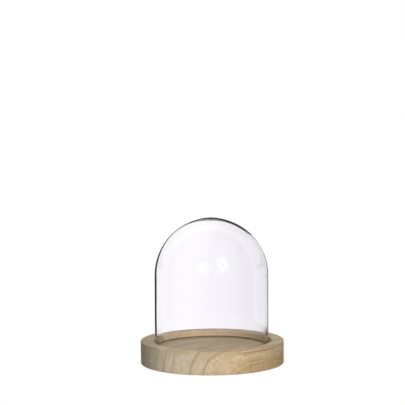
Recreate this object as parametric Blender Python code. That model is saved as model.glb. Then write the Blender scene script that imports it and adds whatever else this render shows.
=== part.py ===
"""Small bell jar: a blown glass dome that stands loose in the recess of a turned wooden base.

Units are metres and +Z is up. The origin is the middle of the footprint, on the surface that the felt
pads stand on. The glass dome lifts straight up off the base.
"""

import math

import bmesh
import bpy

# Touching solids keep this much space between their faces.
CONTACT_GAP = 0.0003

# Turned wooden base.
BASE_RADIUS = 0.070
BASE_THICKNESS = 0.022
BASE_EDGE_ROUND = 0.0008
RECESS_RADIUS = 0.058
RECESS_DEPTH = 0.0064
RECESS_LIP_ROUND = 0.0004
BASE_SEGMENTS = 80

# Glass dome: a straight wall, a half-round top and a low pip where it left the blowpipe.
DOME_RADIUS = 0.0555
DOME_WALL = 0.0023
DOME_STRAIGHT_HEIGHT = 0.0698
DOME_PIP_HEIGHT = 0.0006
DOME_PIP_SPREAD = 0.012
DOME_SEGMENTS = 64
DOME_ARC_STEPS = 16
# The dome is loose in its recess, and stands a little to the left of the middle.
DOME_SHIFT_X = -0.0005

# Self-adhesive felt pads under the base.
PAD_COUNT = 4
PAD_RADIUS = 0.006
PAD_THICKNESS = 0.001
PAD_EDGE_ROUND = 0.0002
PAD_CIRCLE_RADIUS = 0.054
PAD_SEGMENTS = 24

ROUND_STEPS = 3
RIM_STEPS = 6
SHARP_EDGE_DEG = 40.0

# Heights that follow from the sizes above.
BASE_UNDERSIDE_Z = PAD_THICKNESS + CONTACT_GAP
BASE_TOP_Z = BASE_UNDERSIDE_Z + BASE_THICKNESS
RECESS_FLOOR_Z = BASE_TOP_Z - RECESS_DEPTH
DOME_RIM_Z = RECESS_FLOOR_Z + CONTACT_GAP


def clear_scene():
    for obj in list(bpy.data.objects):
        bpy.data.objects.remove(obj, do_unlink=True)


def make_material(name, colour, roughness, metallic=0.0, transmission=0.0, ior=1.5):
    material = bpy.data.materials.new(name)
    material.use_nodes = True
    shader = material.node_tree.nodes["Principled BSDF"]
    shader.inputs["Base Color"].default_value = (*colour, 1.0)
    shader.inputs["Roughness"].default_value = roughness
    shader.inputs["Metallic"].default_value = metallic
    shader.inputs["Transmission Weight"].default_value = transmission
    shader.inputs["IOR"].default_value = ior
    return material


def arc(centre_r, centre_z, radius, start_deg, end_deg, steps):
    """Points of a profile's arc as (distance from the axis, height), both ends included."""
    points = []
    for step in range(steps + 1):
        angle = math.radians(start_deg + (end_deg - start_deg) * step / steps)
        points.append((centre_r + radius * math.cos(angle), centre_z + radius * math.sin(angle)))
    return points


def turn(name, profile, segments):
    """A mesh turned round Z from a profile that runs from the axis, down the outer side, back to the axis."""
    work = bmesh.new()
    corners = [work.verts.new((max(r, 0.0), 0.0, z)) for r, z in profile]
    lines = [work.edges.new(pair) for pair in zip(corners, corners[1:])]
    bmesh.ops.spin(
        work,
        geom=corners + lines,
        cent=(0.0, 0.0, 0.0),
        axis=(0.0, 0.0, 1.0),
        angle=2.0 * math.pi,
        steps=segments,
        use_merge=True,
    )
    bmesh.ops.remove_doubles(work, verts=work.verts, dist=1e-7)
    bmesh.ops.recalc_face_normals(work, faces=work.faces)
    mesh = bpy.data.meshes.new(name)
    work.to_mesh(mesh)
    work.free()
    mesh.shade_smooth()
    mesh.set_sharp_from_angle(angle=math.radians(SHARP_EDGE_DEG))
    return mesh


def place(name, mesh, material, location):
    if not mesh.materials:
        mesh.materials.append(material)
    obj = bpy.data.objects.new(name, mesh)
    obj.location = location
    bpy.context.scene.collection.objects.link(obj)
    return obj


def base_profile():
    """The base's section in heights above its underside."""
    top = BASE_THICKNESS
    floor = top - RECESS_DEPTH
    edge, lip = BASE_EDGE_ROUND, RECESS_LIP_ROUND
    profile = [(0.0, floor), (RECESS_RADIUS, floor)]
    profile += arc(RECESS_RADIUS + lip, top - lip, lip, 180.0, 90.0, ROUND_STEPS)
    profile += arc(BASE_RADIUS - edge, top - edge, edge, 90.0, 0.0, ROUND_STEPS)
    profile += arc(BASE_RADIUS - edge, edge, edge, 0.0, -90.0, ROUND_STEPS)
    profile += [(0.0, 0.0)]
    return profile


def pip(r):
    """How far the top of the dome stands proud of a true half-round at this distance from the axis."""
    return DOME_PIP_HEIGHT * math.exp(-((r / DOME_PIP_SPREAD) ** 2))


def dome_profile():
    """The dome's section in heights above its rim: over the outside, round the rim, and up the inside."""
    rim = DOME_WALL / 2.0
    outside = arc(0.0, DOME_STRAIGHT_HEIGHT, DOME_RADIUS, 90.0, 0.0, DOME_ARC_STEPS)
    outside = [(r, z + pip(r)) for r, z in outside]
    round_rim = arc(DOME_RADIUS - rim, rim, rim, 0.0, -180.0, RIM_STEPS)
    inside = arc(0.0, DOME_STRAIGHT_HEIGHT, DOME_RADIUS - DOME_WALL, 0.0, 90.0, DOME_ARC_STEPS)
    return outside + round_rim + inside


def pad_profile():
    """A felt pad's section in heights above its underside."""
    edge = PAD_EDGE_ROUND
    profile = [(0.0, PAD_THICKNESS)]
    profile += arc(PAD_RADIUS - edge, PAD_THICKNESS - edge, edge, 90.0, 0.0, 1)
    profile += [(PAD_RADIUS, 0.0), (0.0, 0.0)]
    return profile


def make_base():
    wood = make_material("light_wood", (0.62, 0.48, 0.32), 0.6)
    mesh = turn("wood_base", base_profile(), BASE_SEGMENTS)
    return place("wood_base", mesh, wood, (0.0, 0.0, BASE_UNDERSIDE_Z))


def make_dome():
    glass = make_material("clear_glass", (0.96, 0.95, 0.98), 0.02, transmission=1.0)
    mesh = turn("glass_dome", dome_profile(), DOME_SEGMENTS)
    return place("glass_dome", mesh, glass, (DOME_SHIFT_X, 0.0, DOME_RIM_Z))


def make_pads():
    felt = make_material("grey_felt", (0.16, 0.15, 0.14), 0.95)
    mesh = turn("felt_pad", pad_profile(), PAD_SEGMENTS)
    for index in range(PAD_COUNT):
        angle = 2.0 * math.pi * (index + 0.5) / PAD_COUNT
        x = PAD_CIRCLE_RADIUS * math.cos(angle)
        y = PAD_CIRCLE_RADIUS * math.sin(angle)
        place(f"felt_pad_{index + 1}", mesh, felt, (x, y, 0.0))


clear_scene()
make_base()
make_dome()
make_pads()
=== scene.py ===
"""Looks of a small bell jar: a clear blown dome that stands loose in the recess of a solid wooden base.

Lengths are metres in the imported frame, with +Z up, unless a name ends in _MM. Angles are degrees.
"""

import math

import bmesh
import bpy
from mathutils import Matrix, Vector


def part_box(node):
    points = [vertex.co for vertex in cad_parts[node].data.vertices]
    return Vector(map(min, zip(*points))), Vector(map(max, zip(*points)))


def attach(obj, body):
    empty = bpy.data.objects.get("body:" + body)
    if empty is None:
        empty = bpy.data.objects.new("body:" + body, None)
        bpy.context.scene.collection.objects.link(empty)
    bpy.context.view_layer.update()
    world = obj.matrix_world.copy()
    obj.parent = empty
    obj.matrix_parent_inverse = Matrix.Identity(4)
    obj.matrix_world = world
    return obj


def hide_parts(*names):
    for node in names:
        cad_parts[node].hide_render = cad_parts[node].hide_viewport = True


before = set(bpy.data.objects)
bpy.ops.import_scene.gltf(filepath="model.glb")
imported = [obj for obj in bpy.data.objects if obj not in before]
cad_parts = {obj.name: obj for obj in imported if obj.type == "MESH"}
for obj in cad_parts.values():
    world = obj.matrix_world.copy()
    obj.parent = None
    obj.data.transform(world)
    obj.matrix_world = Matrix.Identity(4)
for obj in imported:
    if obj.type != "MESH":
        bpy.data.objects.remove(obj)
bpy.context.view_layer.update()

# Camera: a long lens a little above the object, looking slightly down and a touch off level.
CAMERA_PLACE = (0.0, -1.216, 0.228)
CAMERA_LENS_MM = 111.2
CAMERA_SENSOR_MM = 36.0
CAMERA_TILT = 86.695
CAMERA_TURN = 0.39
CAMERA_ROLL = -0.5

# Wooden base. The recess is turned to just under the rim of the dome.
CONTACT_GAP = 0.0003
BASE_EDGE_ROUND = 0.0008
RECESS_RADIUS = 0.058
RECESS_LIP_ROUND = 0.0004
SANDING_DEPTH = 0.00004
BASE_SEGMENTS = 288

# Glass dome.
DOME_WALL = 0.0023
DOME_PIP_HEIGHT = 0.0006
DOME_PIP_SPREAD = 0.012
DOME_SEGMENTS = 320

# How far the blown glass is out of true: leaning over at the top, out of round, rippled, and in its wall.
# The inset keeps it inside its full size.
DOME_LEAN = 0.00045
DOME_OUT_OF_ROUND = 0.00007
DOME_RIPPLE = 0.00004
DOME_WALL_CHANGE = 0.00008
DOME_INSET = 0.0001

# Felt pads.
PAD_EDGE_ROUND = 0.0002
PAD_RAGGEDNESS = 0.0001
PAD_SEGMENTS = 72

# Points closer than this to each other, or to the axis, are one point. Corners sharper than this stay sharp.
MERGE_DISTANCE = 1e-7
SHARP_CORNER = 50.0

# Growth of the board: how far the fibres are turned from +X, where the pith lies, and each year ring's
# radius and strength.
FIBRE_TURN = 50.0
PITH_ACROSS_MM = 70.0
PITH_HEIGHT_MM = -2.7
YEAR_RINGS = (
    (4, 0.0), (13, 0.05), (24.8, 1.0), (33, 1.0), (44, 1.0), (53, 0.12), (62, 0.6),
    (72, 0.8), (84, 0.6), (96, 0.8), (107, 0.5), (118, 0.8), (129, 0.5), (141, 0.6),
)
RING_REACH_MM = 160.0
# How the growth wanders: over about how many millimetres across and along the fibres, and by how many.
WANDERS_MM = ((45.0, 260.0, 0.9), (5.0, 60.0, 0.22), (1.5, 25.0, 0.26))


# ---------------------------------------------------------------- shapes


def arc(centre_r, centre_z, radius, start, end, steps):
    """Points of a profile's arc as (distance from the axis, height), both ends included."""
    points = []
    for step in range(steps + 1):
        angle = math.radians(start + (end - start) * step / steps)
        points.append((centre_r + radius * math.cos(angle), centre_z + radius * math.sin(angle)))
    return points


def run(start, end, steps):
    """Evenly spaced points of a straight stretch of a profile, without its two ends."""
    points = []
    for step in range(1, steps):
        share = step / steps
        points.append((start[0] + (end[0] - start[0]) * share, start[1] + (end[1] - start[1]) * share))
    return points


def turn(name, profile, segments, place, unevenness):
    """A mesh turned round Z from a profile that runs from the axis, down the outer side, back to the axis.

    unevenness(angle, r, z) gives how far the surface there stands out from true, away from the axis and up.
    """
    work = bmesh.new()
    corners = [work.verts.new((max(r, 0.0), 0.0, z)) for r, z in profile]
    lines = [work.edges.new(pair) for pair in zip(corners, corners[1:])]
    bmesh.ops.spin(
        work,
        geom=corners + lines,
        cent=(0.0, 0.0, 0.0),
        axis=(0.0, 0.0, 1.0),
        angle=2.0 * math.pi,
        steps=segments,
        use_merge=True,
    )
    bmesh.ops.remove_doubles(work, verts=work.verts, dist=MERGE_DISTANCE)
    bmesh.ops.recalc_face_normals(work, faces=work.faces)
    for vert in work.verts:
        x, y, z = vert.co
        r = math.hypot(x, y)
        if r > MERGE_DISTANCE:
            outward, upward = unevenness(math.atan2(y, x), r, z)
            vert.co = (x * (1.0 + outward / r), y * (1.0 + outward / r), z + upward)
    work.transform(Matrix.Translation(place))
    mesh = bpy.data.meshes.new(name)
    work.to_mesh(mesh)
    work.free()
    mesh.shade_smooth()
    mesh.set_sharp_from_angle(angle=math.radians(SHARP_CORNER))
    return mesh


def add_piece(name, mesh, material, body, node):
    mesh.materials.append(material)
    piece = bpy.data.objects.new(name, mesh)
    bpy.context.scene.collection.objects.link(piece)
    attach(piece, body)
    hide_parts(node)
    return piece


# ---------------------------------------------------------------- shader building


class Network:
    """Adds nodes to the tree of a material or a world, so that a shader reads as a list of steps."""

    def __init__(self, tree):
        self.tree = tree

    def feed(self, socket, value):
        if isinstance(value, bpy.types.NodeSocket):
            self.tree.links.new(value, socket)
        elif value is not None:
            socket.default_value = value

    def add(self, kind, inputs=(), **settings):
        node = self.tree.nodes.new(kind)
        for name, value in settings.items():
            setattr(node, name, value)
        for key, value in dict(inputs).items():
            self.feed(node.inputs[key], value)
        return node

    def math(self, operation, a, b=None, clamp=False):
        node = self.add("ShaderNodeMath", {0: a, 1: b}, operation=operation, use_clamp=clamp)
        return node.outputs[0]

    def vector(self, operation, a, b=None):
        node = self.add("ShaderNodeVectorMath", {0: a, 1: b}, operation=operation)
        return node.outputs["Value" if operation in ("DOT_PRODUCT", "LENGTH") else "Vector"]

    def split(self, vector):
        return self.add("ShaderNodeSeparateXYZ", {0: vector}).outputs

    def join(self, x, y, z):
        return self.add("ShaderNodeCombineXYZ", {0: x, 1: y, 2: z}).outputs[0]

    def fade(self, value, zero_at, one_at, low=0.0, high=1.0):
        """A smooth step from low where value is zero_at to high where it is one_at."""
        inputs = {"Value": value, "From Min": zero_at, "From Max": one_at, "To Min": low, "To Max": high}
        node = self.add("ShaderNodeMapRange", inputs, interpolation_type="SMOOTHSTEP")
        return node.outputs["Result"]

    def mix(self, share, a, b):
        node = self.add("ShaderNodeMix", {0: share, 6: a, 7: b}, data_type="RGBA")
        return node.outputs[2]

    def blend(self, share, a, b):
        node = self.add("ShaderNodeMix", {0: share, 2: a, 3: b}, data_type="FLOAT")
        return node.outputs[0]

    def noise(self, vector, detail=2.0, roughness=0.5):
        inputs = {"Vector": vector, "Scale": 1.0, "Detail": detail, "Roughness": roughness}
        return self.add("ShaderNodeTexNoise", inputs, noise_dimensions="3D")

    def ramp(self, value, stops, interpolation="LINEAR"):
        """A colour ramp through (position, colour) stops."""
        node = self.add("ShaderNodeValToRGB", {0: value})
        node.color_ramp.interpolation = interpolation
        elements = node.color_ramp.elements
        while len(elements) < len(stops):
            elements.new(1.0)
        for element, (position, colour) in zip(elements, stops):
            element.position = position
            element.color = (*colour, 1.0)
        return node.outputs["Color"]


def new_material(name):
    material = bpy.data.materials.new(name)
    material.use_nodes = True
    material.node_tree.nodes.clear()
    return material, Network(material.node_tree)


# ---------------------------------------------------------------- wood


SAPWOOD = (0.81, 0.69, 0.49, 1.0)
HEARTWOOD = (0.74, 0.57, 0.355, 1.0)
PITH_WOOD = (0.61, 0.44, 0.235, 1.0)
# Painted shade: the dark grey that the outermost wood at the front is mixed towards.
OUTER_PAINTED_SHADE = (0.42, 0.36, 0.255, 1.0)
LATE_WOOD = (0.34, 0.20, 0.09, 1.0)
# Painted light: the light, warm colour that the recess wall is mixed towards, so that it looks more brightly
# lit.
RECESS_WALL_PAINTED_LIGHT = (0.94, 0.69, 0.39, 1.0)
PORE = (0.27, 0.18, 0.10, 1.0)
END_GRAIN = (0.46, 0.39, 0.29, 1.0)
# The darker, warmer colour of the band along the top and foot edges; along the foot it is painted shade.
DARKENED_EDGE = (0.53, 0.37, 0.20, 1.0)

# What the marks in the wood multiply its colour by, at their darkest and lightest, and the painted shade
# that darkens and warms the floor of the recess.
MARK_DARK = (0.68, 0.62, 0.52)
MARK_LIGHT = (1.24, 1.28, 1.36)
RECESS_PAINTED_SHADE = (0.90, 0.84, 0.75)

# How far each feature covers the colour under it.
LATE_WOOD_COVER = 0.80
PORE_COVER = 0.45
RECESS_WALL_PAINTED_LIGHT_COVER = 0.72
END_GRAIN_COVER = 0.42
DARKENED_EDGE_COVER = 0.80

# How far the darkened band on the edges reaches in from the side of the base, at the front and at the back.
EDGE_BAND_AT_FRONT = 0.0022
EDGE_BAND_AT_BACK = 0.0100


def board_coordinates(net):
    """Place in the board in millimetres: across the fibres, along them, and up."""
    place = net.add("ShaderNodeTexCoord").outputs["Object"]
    turned = net.add(
        "ShaderNodeMapping",
        {
            "Vector": place,
            "Rotation": (0.0, 0.0, math.radians(90.0 - FIBRE_TURN)),
            "Scale": (1000.0, 1000.0, 1000.0),
        },
    )
    return turned.outputs[0]


def stretched(net, board, across, along):
    """Board coordinates scaled so that a noise has marks this wide and this long in millimetres."""
    return net.vector("MULTIPLY", board, (1.0 / across, 1.0 / along, 1.0 / across))


def grown(net, growth, out, along, around):
    """Growth coordinates scaled so that a noise has marks of these sizes in millimetres."""
    return net.vector("MULTIPLY", growth, (1.0 / out, 1.0 / along, 1.0 / around))


def wander(net, board, across, along, reach):
    """An offset of up to about reach millimetres that varies over the board."""
    noise = net.noise(stretched(net, board, across, along), detail=1.0)
    centred = net.vector("SUBTRACT", noise.outputs["Color"], (0.5, 0.5, 0.5))
    return net.vector("MULTIPLY", centred, (2.0 * reach, 0.0, 2.0 * reach))


def growth_coordinates(net, board):
    """Place in the board in millimetres: out from the pith, along the fibres, and round the pith."""
    bent = board
    for wander_size in WANDERS_MM:
        bent = net.vector("ADD", bent, wander(net, board, *wander_size))
    across, along, up = net.split(bent)
    across = net.math("SUBTRACT", across, PITH_ACROSS_MM)
    up = net.math("SUBTRACT", up, PITH_HEIGHT_MM)
    radius = net.vector("LENGTH", net.join(across, up, 0.0))
    bearing = net.math("ARCTAN2", across, up)
    return net.join(radius, along, net.math("MULTIPLY", radius, bearing)), radius, bearing


def ring_phase(net, radius):
    """How many year rings out from the pith a place lies."""
    count = len(YEAR_RINGS)
    stops = [(0.0, (0.0, 0.0, 0.0))]
    stops += [(r / RING_REACH_MM, ((i + 1) / count,) * 3) for i, (r, _) in enumerate(YEAR_RINGS)]
    share = net.ramp(net.math("DIVIDE", radius, RING_REACH_MM), stops)
    return net.math("MULTIPLY", share, float(count))


def ring_strength(net, phase):
    """How marked the year ring is that this place is nearest to."""
    count = len(YEAR_RINGS)
    stops = [((i + 0.5) / count, (strength,) * 3) for i, (_, strength) in enumerate(YEAR_RINGS)]
    nearest = net.math("DIVIDE", phase, float(count))
    return net.ramp(nearest, [(0.0, (0.0, 0.0, 0.0))] + stops, "CONSTANT")


def ring_lines(net, growth, radius, bearing, face_grain):
    """How dark the late wood is at a place, and how far into the year's growth that place lies."""
    phase = ring_phase(net, radius)
    part_of_year = net.math("FRACT", phase)

    # Late wood builds up slowly towards each ring line and stops short behind it.
    late = net.fade(part_of_year, 0.45, 0.98, 0.0, 0.30)
    line = net.fade(part_of_year, 0.84, 0.96)
    line = net.math("MAXIMUM", line, net.fade(part_of_year, 0.05, 0.0))
    broken = net.noise(grown(net, growth, 6.0, 60.0, 3.5), detail=3.0).outputs["Fac"]
    line = net.math("MULTIPLY", line, net.fade(broken, 0.34, 0.58, 0.40, 1.0))
    late = net.math("ADD", late, line, clamp=True)
    late = net.math("MULTIPLY", late, ring_strength(net, phase))

    # The rings show less on the face of the board, and the innermost ones only straight above the pith, on
    # one side of where the edge of the base comes nearest to it.
    late = net.math("MULTIPLY", late, net.blend(face_grain, 1.0, 0.35))
    along = net.split(growth)[1]
    beside = net.math("MAXIMUM", net.fade(bearing, -0.18, -0.42), net.fade(along, 2.0, 16.0))
    beside = net.math("MULTIPLY", net.fade(radius, 29.0, 27.0), beside)
    late = net.math("MULTIPLY", late, net.math("SUBTRACT", 1.0, beside))
    return late, part_of_year


def plain_colour(net, radius, y, face_grain, recess_floor):
    """The colour of the wood from the pith out.

    The outermost wood at the front is painted greyer and darker as painted shade, most of all on the side,
    and not inside the recess.
    """
    colour = net.mix(net.fade(radius, 62.0, 18.0), SAPWOOD, HEARTWOOD)
    colour = net.mix(net.fade(radius, 22.0, 12.0), colour, PITH_WOOD)
    # Painted shade: the outermost wood at the front is mixed towards a dark grey.
    painted_shade_share = net.math("MULTIPLY", net.fade(radius, 60.0, 126.0), net.fade(y, 0.065, 0.0))
    painted_shade_share = net.math("MULTIPLY", painted_shade_share, net.blend(face_grain, 1.0, 0.75))
    painted_shade_share = net.math("MULTIPLY", painted_shade_share, net.math("SUBTRACT", 1.0, recess_floor))
    colour = net.mix(painted_shade_share, colour, OUTER_PAINTED_SHADE)
    # Painted shade: the floor of the recess is darkened and warmed.
    return net.mix(recess_floor, colour, net.vector("MULTIPLY", colour, RECESS_PAINTED_SHADE))


def marked_colour(net, colour, board, growth, fine, broad):
    """The colour with its marks.

    Fibres run along the board, within a year the wood grows in thin layers, and rays cross those.
    """
    patches = net.noise(stretched(net, board, 13.0, 55.0), detail=3.0, roughness=0.6).outputs["Fac"]
    layers = net.noise(grown(net, growth, 1.3, 60.0, 13.0), detail=3.0, roughness=0.6).outputs["Fac"]
    rays = net.noise(grown(net, growth, 8.0, 5.0, 0.7), detail=2.0).outputs["Fac"]
    tone = 0.5
    for marks, weight in ((patches, 1.0), (broad, 0.9), (fine, 0.8), (layers, 1.5), (rays, 0.7)):
        tone = net.math("ADD", tone, net.math("MULTIPLY", net.math("SUBTRACT", marks, 0.5), weight))
    dark = net.vector("MULTIPLY", colour, MARK_DARK)
    light = net.vector("MULTIPLY", colour, MARK_LIGHT)
    return net.mix(net.math("MINIMUM", tone, 1.0, clamp=True), dark, light)


def darkened_edges(net, place, y, z, from_axis):
    """Where the turned edges of the side are painted darker and warmer, under the top and along the foot,
    reaching furthest in at the back; along the foot this is painted shade.
    """
    band_reach = net.fade(y, 0.0, 0.040, EDGE_BAND_AT_FRONT, EDGE_BAND_AT_BACK)
    inner_end = net.math("SUBTRACT", BASE_RADIUS, band_reach)
    outer_end = net.math("SUBTRACT", BASE_RADIUS, net.math("MULTIPLY", band_reach, 0.35))
    out = net.fade(from_axis, inner_end, outer_end)
    top = net.fade(z, BASE_TOP - 0.0060, BASE_TOP - 0.0002)
    foot = net.fade(z, BASE_UNDERSIDE + 0.0022, BASE_UNDERSIDE + 0.0002)
    edge = net.math("MULTIPLY", out, net.math("MAXIMUM", top, foot))
    scuffs = net.noise(net.vector("MULTIPLY", place, (110.0, 110.0, 110.0)), detail=4.0)
    return net.math("MULTIPLY", edge, net.fade(scuffs.outputs["Fac"], 0.30, 0.62))


def make_wood():
    material, net = new_material("light_wood")
    board = board_coordinates(net)
    growth, radius, bearing = growth_coordinates(net, board)
    facing = net.add("ShaderNodeTexCoord").outputs["Normal"]
    face_grain = net.fade(net.split(facing)[2], 0.5, 0.9)
    late, part_of_year = ring_lines(net, growth, radius, bearing, face_grain)

    place = net.add("ShaderNodeTexCoord").outputs["Object"]
    x, y, z = net.split(place)
    from_axis = net.vector("LENGTH", net.join(x, y, 0.0))
    in_recess = net.fade(from_axis, RECESS_RADIUS + 0.0009, RECESS_RADIUS + 0.0001)
    above_floor = net.fade(z, RECESS_FLOOR + 0.0001, RECESS_FLOOR + 0.0008)
    recess_wall = net.math("MULTIPLY", in_recess, above_floor)
    recess_floor = net.math("MULTIPLY", in_recess, face_grain)

    fine = net.noise(stretched(net, board, 0.45, 16.0), detail=3.0, roughness=0.6).outputs["Fac"]
    broad = net.noise(stretched(net, board, 2.6, 70.0), detail=3.0, roughness=0.6).outputs["Fac"]
    colour = plain_colour(net, radius, y, face_grain, recess_floor)
    colour = marked_colour(net, colour, board, growth, fine, broad)

    # Pores are thickest in the early wood just outside each ring line.
    cells = net.add(
        "ShaderNodeTexVoronoi",
        {"Vector": stretched(net, board, 0.75, 9.0), "Scale": 1.0, "Randomness": 1.0},
    )
    pore = net.fade(cells.outputs["Distance"], 0.30, 0.12)
    pore = net.math("MULTIPLY", pore, net.fade(part_of_year, 0.45, 0.02, 0.25, 1.0))

    # End grain drinks in light: it is darker where the surface cuts across the fibres.
    turn_angle = math.radians(FIBRE_TURN)
    across_fibres = net.vector("DOT_PRODUCT", facing, (math.cos(turn_angle), math.sin(turn_angle), 0.0))
    end_grain = net.fade(net.math("ABSOLUTE", across_fibres), 0.45, 1.0)
    edge = darkened_edges(net, place, y, z, from_axis)

    for feature, cover, covering in (
        (late, LATE_WOOD_COVER, LATE_WOOD),
        (pore, PORE_COVER, PORE),
        # The recess wall is painted lighter and warmer: painted light.
        (recess_wall, RECESS_WALL_PAINTED_LIGHT_COVER, RECESS_WALL_PAINTED_LIGHT),
        (end_grain, END_GRAIN_COVER, END_GRAIN),
        # Darker, warmer band on the turned edges; along the foot it is painted shade.
        (edge, DARKENED_EDGE_COVER, DARKENED_EDGE),
    ):
        colour = net.mix(net.math("MULTIPLY", feature, cover), colour, covering)

    # The darkened edges are smoother too.
    roughness = net.fade(fine, 0.25, 0.8, 0.62, 0.80)
    roughness = net.math("SUBTRACT", roughness, net.math("MULTIPLY", edge, 0.12))

    height = net.math("MULTIPLY", fine, 0.5)
    height = net.math("ADD", height, net.math("MULTIPLY", broad, 0.3))
    height = net.math("SUBTRACT", height, net.math("MULTIPLY", pore, 0.8))
    height = net.math("ADD", height, net.math("MULTIPLY", late, 0.25))
    bump = net.add("ShaderNodeBump", {"Strength": 0.35, "Distance": 0.00006, "Height": height})

    surface = net.add(
        "ShaderNodeBsdfPrincipled",
        {
            "Base Color": colour,
            "Roughness": roughness,
            "Normal": bump.outputs[0],
            "Specular IOR Level": 0.12,
        },
    )
    output = net.add("ShaderNodeOutputMaterial")
    net.feed(output.inputs["Surface"], surface.outputs[0])
    return material


def base_profile():
    """The base's section, from the middle of the recess floor to the middle of the underside."""
    edge, lip = BASE_EDGE_ROUND, RECESS_LIP_ROUND
    profile = [(0.0, RECESS_FLOOR)]
    profile += run((0.0, RECESS_FLOOR), (RECESS_RADIUS - lip, RECESS_FLOOR), 24)
    profile += arc(RECESS_RADIUS - lip, RECESS_FLOOR + lip, lip, -90.0, 0.0, 3)
    profile += run((RECESS_RADIUS, RECESS_FLOOR + lip), (RECESS_RADIUS, BASE_TOP - lip), 5)
    profile += arc(RECESS_RADIUS + lip, BASE_TOP - lip, lip, 180.0, 90.0, 5)
    profile += run((RECESS_RADIUS + lip, BASE_TOP), (BASE_RADIUS - edge, BASE_TOP), 5)
    profile += arc(BASE_RADIUS - edge, BASE_TOP - edge, edge, 90.0, 0.0, 7)
    profile += run((BASE_RADIUS, BASE_TOP - edge), (BASE_RADIUS, BASE_UNDERSIDE + edge), 12)
    profile += arc(BASE_RADIUS - edge, BASE_UNDERSIDE + edge, edge, 0.0, -90.0, 7)
    profile += run((BASE_RADIUS - edge, BASE_UNDERSIDE), (0.0, BASE_UNDERSIDE), 24)
    profile += [(0.0, BASE_UNDERSIDE)]
    return profile


def base_unevenness(angle, r, z):
    """Sanding leaves the turned surface a few hundredths of a millimetre out of true."""
    depth = SANDING_DEPTH * r / BASE_RADIUS
    outward = depth * math.sin(3.0 * angle + 0.7) * math.sin(180.0 * z + 0.4)
    upward = depth * math.sin(2.0 * angle + 150.0 * r)
    return outward - depth, upward


def make_base():
    mesh = turn("turned_base", base_profile(), BASE_SEGMENTS, (0.0, 0.0, 0.0), base_unevenness)
    return add_piece("turned_base", mesh, make_wood(), "base", "wood_base")


# ---------------------------------------------------------------- glass


GLASS_TINT = (0.988, 0.981, 1.0, 1.0)
GLASS_IOR = 1.47
GLASS_SHADE = (0.985, 0.985, 0.99, 1.0)
# The rim's colour, painted dark brown: painted shade for the dark line where the glass stands on the wood.
RIM_PAINTED_SHADE = (0.30, 0.25, 0.19, 1.0)
RIM_SHADE = (0.10, 0.09, 0.075, 1.0)
RIM_HEIGHT = 0.0016


def make_glass():
    """Clear glass with a ground rim, whose colour is painted dark as painted shade and which casts real
    shadow. Light on its way to matt surfaces isn't bent by it.
    """
    material, net = new_material("clear_glass")
    place = net.add("ShaderNodeTexCoord").outputs["Object"]
    handling = net.noise(net.vector("MULTIPLY", place, (35.0, 35.0, 28.0)), detail=4.0, roughness=0.6)
    ground = net.fade(net.split(place)[2], DOME_RIM + RIM_HEIGHT, DOME_RIM + 0.5 * RIM_HEIGHT)
    roughness = net.fade(handling.outputs["Fac"], 0.55, 0.80, 0.0, 0.006)
    roughness = net.math("ADD", roughness, net.math("MULTIPLY", ground, 0.25))
    waves = net.noise(net.vector("MULTIPLY", place, (38.0, 38.0, 22.0)), detail=1.0)
    bump = net.add(
        "ShaderNodeBump", {"Strength": 0.2, "Distance": 0.0002, "Height": waves.outputs["Fac"]}
    )
    # At the rim the base colour is painted dark: painted shade.
    glass = net.add(
        "ShaderNodeBsdfPrincipled",
        {
            "Base Color": net.mix(ground, GLASS_TINT, RIM_PAINTED_SHADE),
            "Roughness": roughness,
            "IOR": GLASS_IOR,
            "Transmission Weight": 1.0,
            "Normal": bump.outputs[0],
        },
    )
    clear = net.add("ShaderNodeBsdfTransparent", {"Color": net.mix(ground, GLASS_SHADE, RIM_SHADE)})
    path = net.add("ShaderNodeLightPath").outputs
    surface = glass.outputs[0]
    for ray in ("Is Diffuse Ray", "Is Shadow Ray"):
        surface = net.add("ShaderNodeMixShader", {0: path[ray], 1: surface, 2: clear.outputs[0]}).outputs[0]
    output = net.add("ShaderNodeOutputMaterial")
    net.feed(output.inputs["Surface"], surface)
    return material


def pip(r):
    """How far the top of the dome stands proud of a true half-round at this distance from the axis."""
    return DOME_PIP_HEIGHT * math.exp(-((r / DOME_PIP_SPREAD) ** 2))


def dome_profile():
    """The dome's section: over the outside from the top, round the rim, and up the inside."""
    rim = DOME_WALL / 2.0
    inner = DOME_RADIUS - DOME_WALL
    outside = arc(0.0, DOME_SPRING, DOME_RADIUS, 90.0, 0.0, 72)
    outside = [(r, z + pip(r)) for r, z in outside]
    profile = outside + run((DOME_RADIUS, DOME_SPRING), (DOME_RADIUS, DOME_RIM + rim), 24)
    profile += arc(DOME_RADIUS - rim, DOME_RIM + rim, rim, 0.0, -180.0, 16)
    profile += run((inner, DOME_RIM + rim), (inner, DOME_SPRING), 24)
    inside = arc(0.0, DOME_SPRING, inner, 0.0, 90.0, 72)
    return profile + [(r, z + 0.5 * pip(r)) for r, z in inside]


def dome_unevenness(angle, r, z):
    """Blown glass is slightly out of round and leans a little, and its wall is thicker in some places."""
    height = (z - DOME_RIM) / (DOME_TOP - DOME_RIM)
    fullness = r / DOME_RADIUS
    outward = DOME_OUT_OF_ROUND * math.sin(2.0 * angle + 0.9) * math.sin(5.0 * height + 0.6)
    outward += DOME_RIPPLE * math.sin(3.0 * angle + 2.1 + 4.0 * height)
    outward += DOME_LEAN * math.cos(angle) * height**2 * (3.0 - 2.0 * height)
    mid_wall = DOME_RADIUS - DOME_WALL / 2.0
    if r < mid_wall - MERGE_DISTANCE and z < DOME_SPRING:
        outward += DOME_WALL_CHANGE * math.sin(2.0 * angle + 2.4) * math.sin(7.0 * height)
    return (outward - DOME_INSET) * fullness, 0.0


def make_dome():
    mesh = turn("blown_dome", dome_profile(), DOME_SEGMENTS, (DOME_CENTRE_X, 0.0, 0.0), dome_unevenness)
    return add_piece("blown_dome", mesh, make_glass(), "dome", "glass_dome")


# ---------------------------------------------------------------- felt


FELT_LIGHT = (0.24, 0.23, 0.215, 1.0)
FELT_DARK = (0.10, 0.095, 0.09, 1.0)


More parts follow.
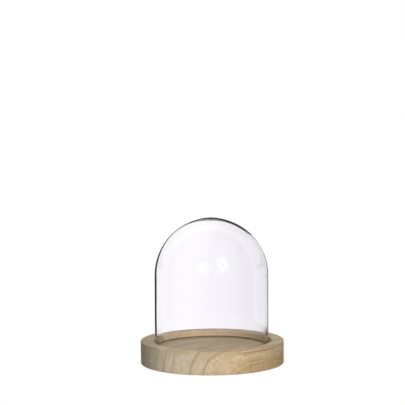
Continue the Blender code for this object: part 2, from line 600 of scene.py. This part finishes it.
def make_felt():
    material, net = new_material("grey_felt")
    place = net.add("ShaderNodeTexCoord").outputs["Object"]
    lie = net.noise(net.vector("MULTIPLY", place, (900.0, 900.0, 900.0)), detail=2.0)
    bent = net.vector("ADD", place, net.vector("MULTIPLY", lie.outputs["Color"], (0.0012, 0.0012, 0.0012)))
    hairs = net.noise(net.vector("MULTIPLY", bent, (9000.0, 2600.0, 5000.0)), detail=4.0, roughness=0.7)
    mottle = net.noise(net.vector("MULTIPLY", place, (420.0, 420.0, 420.0)), detail=3.0)
    colour = net.mix(net.fade(hairs.outputs["Fac"], 0.30, 0.70), FELT_DARK, FELT_LIGHT)
    colour = net.mix(net.fade(mottle.outputs["Fac"], 0.35, 0.75, 0.0, 0.5), colour, FELT_DARK)
    bump = net.add(
        "ShaderNodeBump", {"Strength": 0.9, "Distance": 0.0001, "Height": hairs.outputs["Fac"]}
    )
    roughness = net.fade(mottle.outputs["Fac"], 0.3, 0.8, 0.88, 0.98)
    surface = net.add(
        "ShaderNodeBsdfPrincipled",
        {
            "Base Color": colour,
            "Roughness": roughness,
            "Normal": bump.outputs[0],
            "Sheen Weight": 0.35,
            "Sheen Roughness": 0.5,
            "Specular IOR Level": 0.15,
        },
    )
    output = net.add("ShaderNodeOutputMaterial")
    net.feed(output.inputs["Surface"], surface.outputs[0])
    return material


def pad_profile(low, high):
    """A pad's section, from the middle of its upper face to the middle of its underside."""
    edge = PAD_EDGE_ROUND
    profile = [(0.0, high)] + run((0.0, high), (PAD_RADIUS - edge, high), 8)
    profile += arc(PAD_RADIUS - edge, high - edge, edge, 90.0, 0.0, 4)
    profile += run((PAD_RADIUS, high - edge), (PAD_RADIUS, low + edge), 4)
    profile += arc(PAD_RADIUS - edge, low + edge, edge, 0.0, -90.0, 4)
    return profile + run((PAD_RADIUS - edge, low), (0.0, low), 8) + [(0.0, low)]


def pad_unevenness(angle, r, z):
    """The punched edge of felt is a little ragged, and its underside is pressed flat."""
    ragged = 0.6 * math.sin(17.0 * angle) + 0.4 * math.sin(29.0 * angle + 4000.0 * z)
    return PAD_RAGGEDNESS * (ragged - 1.0) * (r / PAD_RADIUS) ** 6, 0.0


def make_pads():
    felt = make_felt()
    for node in sorted(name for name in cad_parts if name.startswith("felt_pad_")):
        low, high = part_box(node)
        middle = (low + high) / 2.0
        name = node.replace("felt_pad", "soft_pad")
        place = (middle.x, middle.y, 0.0)
        mesh = turn(name, pad_profile(low.z, high.z), PAD_SEGMENTS, place, pad_unevenness)
        add_piece(name, mesh, felt, "base", node)


# ---------------------------------------------------------------- studio


# The backdrop's colour, and how evenly it is lit, by degrees from straight behind the object: it is
# brightest a little left of that.
BACKDROP = (1.085, 1.07, 1.105)
BACKDROP_LEVELS = (
    (-180, 0.95), (-12, 0.99), (-2.5, 1.05), (-1, 1.035), (0, 1.005), (1.2, 0.99), (2.3, 0.94), (12, 0.94),
    (180, 0.95),
)

# The white floor: its width, how brightly it glows, and how much of the studio's light it adds to that.
FLOOR_SIDE = 6.0
FLOOR_GLOW = 0.965
FLOOR_MATT = 0.06

# Two umbrellas in front: turn towards +X from straight ahead of the object, height above the horizon, half
# width, half height, and how bright the glass shows them. Matt surfaces get the same light from both.
UMBRELLAS = ((-18.5, 20.5, 11.0, 9.5, 1.5), (24.0, 25.0, 11.0, 12.5, 2.3))
UMBRELLA_LIGHT = 2.2
UMBRELLA_SPOKES = 8.0

# Soft lights for matt surfaces: turn and height as above, the cosines of the angle from the light's middle
# where it starts and where it is full, and its brightness. They are in front, behind and overhead.
SOFT_LIGHTS = (
    (7.0, 14.0, 0.75, 0.97, 2.6),
    (180.0, 15.0, 0.80, 0.97, 1.8),
    (0.0, 90.0, 0.80, 0.97, 0.76),
)
# What the floor throws back, only from below the horizon: in front and behind.
FLOOR_LIGHTS = (
    (7.0, -15.0, 0.2, 0.8, 0.35),
    (180.0, -20.0, 0.72, 0.97, 1.6),
)
ROOM_LIGHT = 0.03

# The dark screens round the white backdrop: how many degrees out they reach, by clock angle from straight
# up, where plus is to the right. Light inside the edge of the glass meets only their wider stretches.
SCREEN = 0.03
SCREEN_REACH = (
    (-180, 25), (-140, 30), (-95, 30), (-79, 28), (-63, 24), (-40, 20), (-23, 23), (-11, 26), (0, 29),
    (25, 31), (38, 29), (46, 23), (54, 15), (60, 10), (66, 15), (74, 19), (90, 21), (140, 21), (180, 25),
)
SCREEN_BLUR = 2.5
WIDE_SCREENS = (14.0, 26.0)
WIDE_SCREEN_BLUR = 1.5
# How high the middle of the backdrop lies, and how far from it the dark far sides start and are full.
BACKDROP_HEIGHT = -6.0
FAR_SIDES = (70.0, 84.0)

# The studio walls beyond the screens: how bright they are, by degrees from straight behind the object.
WALLS = (
    (-180, 0.25), (-140, 0.45), (-105, 0.68), (-70, 0.86), (-36, 1.02), (0, 0.92),
    (10, 0.84), (20, 0.80), (31, 0.78), (42, 0.62), (66, 0.20), (94, 0.05), (180, 0.25),
)

# The ceiling behind the object, brighter on the left, and the floor: where each starts and where it is full,
# in degrees above the horizon.
CEILING_HEIGHTS = (14.0, 30.0)
CEILING_LEFT = 1.1
CEILING_RIGHT = 0.60
FLOOR_HEIGHTS = (-14.0, -30.0)
FLOOR_SHARE = 0.72

# A band of wood colour painted into the studio, which only the glass shows, is a painted reflection of the
# wood at the edge of the glass; it runs from a top down to a foot, which both fade in.
PAINTED_WOOD_REFLECTION = (0.15, 0.115, 0.08, 1.0)
WOOD_TOP = (-9.18, -9.42)
WOOD_FOOT = (-14.0, -12.0)


def toward(turned, raised):
    """The direction that lies turned degrees from -Y towards +X, and raised degrees above the horizon."""
    turn_angle, height = math.radians(turned), math.radians(raised)
    return (
        math.sin(turn_angle) * math.cos(height),
        -math.cos(turn_angle) * math.cos(height),
        math.sin(height),
    )


def lobe(net, direction, turned, raised, zero_at, one_at):
    """A soft round patch: zero_at and one_at are cosines of the angle from its middle."""
    return net.fade(net.vector("DOT_PRODUCT", direction, toward(turned, raised)), zero_at, one_at)


def umbrella(net, turned, height, direction, shape):
    """A soft-edged, slightly ragged octagon in the directions round its middle, dark at its lamp."""
    middle, raised, half_width, half_height = shape[:4]
    across = net.math("DIVIDE", net.math("SUBTRACT", turned, middle), half_width)
    up = net.math("DIVIDE", net.math("SUBTRACT", height, raised), half_height)
    distance = net.vector("LENGTH", net.join(across, up, 0.0))
    spoke = net.math("COSINE", net.math("MULTIPLY", net.math("ARCTAN2", up, across), UMBRELLA_SPOKES))
    ragged = net.noise(net.vector("MULTIPLY", direction, (15.0, 15.0, 15.0)), detail=2.0).outputs["Fac"]
    reach = net.math("ADD", net.math("MULTIPLY", spoke, -0.05), net.fade(ragged, 0.25, 0.75, 0.5, 1.5))
    distance = net.math("MULTIPLY", distance, reach)
    lamp = net.fade(distance, 0.42, 0.24)
    return net.math("SUBTRACT", net.fade(distance, 1.15, 0.80), lamp)


def matt_light(net, direction, umbrellas):
    """The light on matt surfaces: nearly all from the front, some from above, the back and the floor."""
    below = net.fade(net.split(direction)[2], 0.0, -0.3)
    light = ROOM_LIGHT
    for *patch, brightness in SOFT_LIGHTS:
        light = net.math("ADD", light, net.math("MULTIPLY", lobe(net, direction, *patch), brightness))
    for *patch, brightness in FLOOR_LIGHTS:
        thrown_back = net.math("MULTIPLY", below, lobe(net, direction, *patch))
        light = net.math("ADD", light, net.math("MULTIPLY", thrown_back, brightness))
    for lamp in umbrellas:
        light = net.math("ADD", light, net.math("MULTIPLY", lamp, UMBRELLA_LIGHT))
    return light


def degrees(net, radians):
    return net.math("MULTIPLY", radians, 180.0 / math.pi)


def by_angle(net, angle, table):
    """The table's value at an angle from -180 to 180, between its rows of (angle, value)."""
    stops = [((row_angle + 180.0) / 360.0, (value,) * 3) for row_angle, value in table]
    return net.ramp(net.math("DIVIDE", net.math("ADD", angle, 180.0), 360.0), stops)


def studio_walls(net, height, y, from_back):
    """How bright the studio is beyond the screens: its walls, its floor and the ceiling at the back."""
    walls = by_angle(net, from_back, WALLS)
    ceiling = net.fade(from_back, -5.0, 40.0, CEILING_LEFT, CEILING_RIGHT)
    above = net.math("MULTIPLY", net.fade(height, *CEILING_HEIGHTS), net.fade(y, -0.6, 0.7))
    studio = net.blend(above, walls, ceiling)
    return net.math("MULTIPLY", studio, net.fade(height, *FLOOR_HEIGHTS, 1.0, FLOOR_SHARE))


def past_screens(net, off_axis, reach, blur):
    """1 in directions that miss the screens, and 0 in those that meet them."""
    return net.fade(net.math("SUBTRACT", off_axis, reach), -blur, blur)


def shown_by_glass(net, direction, height, from_back, umbrellas, through, crossed):
    """What reflected light meets: the studio with its dark screens and its lamps, and a painted reflection
    of the wood.
    """
    y = net.split(direction)[1]
    studio = studio_walls(net, height, y, from_back)
    off_axis = net.math("ARCCOSINE", net.vector("DOT_PRODUCT", direction, toward(180.0, BACKDROP_HEIGHT)))
    off_axis = degrees(net, off_axis)
    clock = degrees(net, net.math("ARCTAN2", from_back, net.math("SUBTRACT", height, BACKDROP_HEIGHT)))
    reach = by_angle(net, clock, SCREEN_REACH)
    mirrored = net.blend(past_screens(net, off_axis, reach, SCREEN_BLUR), SCREEN, studio)

    # Light that the thick edge of the glass turns inside it meets only the wider screens, light that has
    # crossed the dome meets none of those, and both find more of them far out to the sides.
    wide_reach = net.math("MULTIPLY", reach, net.fade(reach, *WIDE_SCREENS))
    past_wide = net.math("MAXIMUM", past_screens(net, off_axis, wide_reach, WIDE_SCREEN_BLUR), crossed)
    sides = net.blend(net.fade(off_axis, *FAR_SIDES), net.blend(past_wide, SCREEN, studio), SCREEN)

    light = net.blend(through, mirrored, sides)
    for lamp, umbrella_shape in zip(umbrellas, UMBRELLAS):
        light = net.math("ADD", light, net.math("MULTIPLY", lamp, umbrella_shape[-1]))
    # Painted reflection: a wood-coloured band below the horizon, behind the object.
    wood = net.math("MULTIPLY", net.fade(height, *WOOD_TOP), net.fade(height, *WOOD_FOOT))
    wood = net.math("MULTIPLY", wood, net.fade(y, 0.2, 0.5))
    return net.mix(wood, light, PAINTED_WOOD_REFLECTION)


def make_world():
    """White behind the object, soft light from the front, and a darker studio at the sides.

    Light that has glanced off the glass finds the dark sides, which draws the dome's outline.
    """
    world = bpy.data.worlds.new("studio")
    world.use_nodes = True
    world.node_tree.nodes.clear()
    net = Network(world.node_tree)
    direction = net.add("ShaderNodeTexCoord").outputs["Generated"]
    x, y, z = net.split(direction)
    height = degrees(net, net.math("ARCSINE", z))
    from_front = degrees(net, net.math("ARCTAN2", x, net.math("MULTIPLY", y, -1.0)))
    from_back = degrees(net, net.math("ARCTAN2", x, y))
    umbrellas = [umbrella(net, from_front, height, direction, shape) for shape in UMBRELLAS]
    backdrop = net.vector("MULTIPLY", by_angle(net, from_back, BACKDROP_LEVELS), BACKDROP)

    # How the light gets to the world. Its depths are whole numbers, so half numbers tell them apart.
    path = net.add("ShaderNodeLightPath").outputs
    unscattered = net.math("LESS_THAN", path["Diffuse Depth"], 0.5)
    through = net.math("MULTIPLY", path["Is Transmission Ray"], unscattered)
    crossed = net.math("GREATER_THAN", path["Transmission Depth"], 2.5)
    glanced = net.math("GREATER_THAN", path["Glossy Depth"], 0.5)
    glanced = net.math("MULTIPLY", glanced, unscattered)
    straight = net.math("MULTIPLY", through, net.math("SUBTRACT", 1.0, glanced))

    in_glass = shown_by_glass(net, direction, height, from_back, umbrellas, through, crossed)
    light = net.mix(glanced, matt_light(net, direction, umbrellas), in_glass)
    light = net.mix(straight, light, backdrop)
    light = net.mix(path["Is Camera Ray"], light, (1.0, 1.0, 1.0, 1.0))
    background = net.add("ShaderNodeBackground", {"Color": light, "Strength": 1.0})
    output = net.add("ShaderNodeOutputWorld")
    net.feed(output.inputs["Surface"], background.outputs[0])
    bpy.context.scene.world = world


def make_floor():
    """A plain white floor, which only the camera sees, so that it adds no second light."""
    material, net = new_material("white_floor")
    place = net.add("ShaderNodeTexCoord").outputs["Object"]
    grain = net.noise(net.vector("MULTIPLY", place, (60.0, 60.0, 60.0)))
    matt = net.add("ShaderNodeBsdfDiffuse", {"Color": (FLOOR_MATT, FLOOR_MATT, FLOOR_MATT, 1.0)})
    net.feed(matt.inputs["Roughness"], net.fade(grain.outputs["Fac"], 0.2, 0.8, 0.4, 0.6))
    glow = net.add("ShaderNodeEmission", {"Color": (1.0, 1.0, 1.0, 1.0), "Strength": FLOOR_GLOW})
    both = net.add("ShaderNodeAddShader", {0: matt.outputs[0], 1: glow.outputs[0]})
    output = net.add("ShaderNodeOutputMaterial")
    net.feed(output.inputs["Surface"], both.outputs[0])
    work = bmesh.new()
    bmesh.ops.create_grid(work, x_segments=8, y_segments=8, size=FLOOR_SIDE / 2.0)
    mesh = bpy.data.meshes.new("floor")
    work.to_mesh(mesh)
    work.free()
    mesh.materials.append(material)
    floor = bpy.data.objects.new("floor", mesh)
    bpy.context.scene.collection.objects.link(floor)
    floor.visible_diffuse = False
    floor.visible_glossy = False
    floor.visible_transmission = False
    floor.visible_shadow = False


def make_camera():
    camera = bpy.data.cameras.new("camera")
    camera.lens = CAMERA_LENS_MM
    camera.sensor_width = CAMERA_SENSOR_MM
    camera.clip_start = 0.01
    camera.clip_end = 50.0
    holder = bpy.data.objects.new("camera", camera)
    bpy.context.scene.collection.objects.link(holder)
    turned = Matrix.Rotation(math.radians(CAMERA_TURN), 4, "Z")
    tilted = Matrix.Rotation(math.radians(CAMERA_TILT), 4, "X")
    rolled = Matrix.Rotation(math.radians(CAMERA_ROLL), 4, "Z")
    holder.matrix_world = Matrix.Translation(CAMERA_PLACE) @ turned @ tilted @ rolled
    bpy.context.scene.camera = holder


base_low, base_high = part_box("wood_base")
dome_low, dome_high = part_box("glass_dome")
pad_low, pad_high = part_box("felt_pad_1")
BASE_RADIUS = (base_high.x - base_low.x) / 2.0
BASE_UNDERSIDE = base_low.z
BASE_TOP = base_high.z
DOME_RADIUS = (dome_high.x - dome_low.x) / 2.0
DOME_CENTRE_X = (dome_high.x + dome_low.x) / 2.0
DOME_RIM = dome_low.z
DOME_TOP = dome_high.z
DOME_SPRING = DOME_TOP - DOME_PIP_HEIGHT - DOME_RADIUS
RECESS_FLOOR = DOME_RIM - CONTACT_GAP
PAD_RADIUS = (pad_high.x - pad_low.x) / 2.0

bpy.context.scene.view_settings.view_transform = "Standard"
make_camera()
make_world()
make_floor()
make_base()
make_dome()
make_pads()
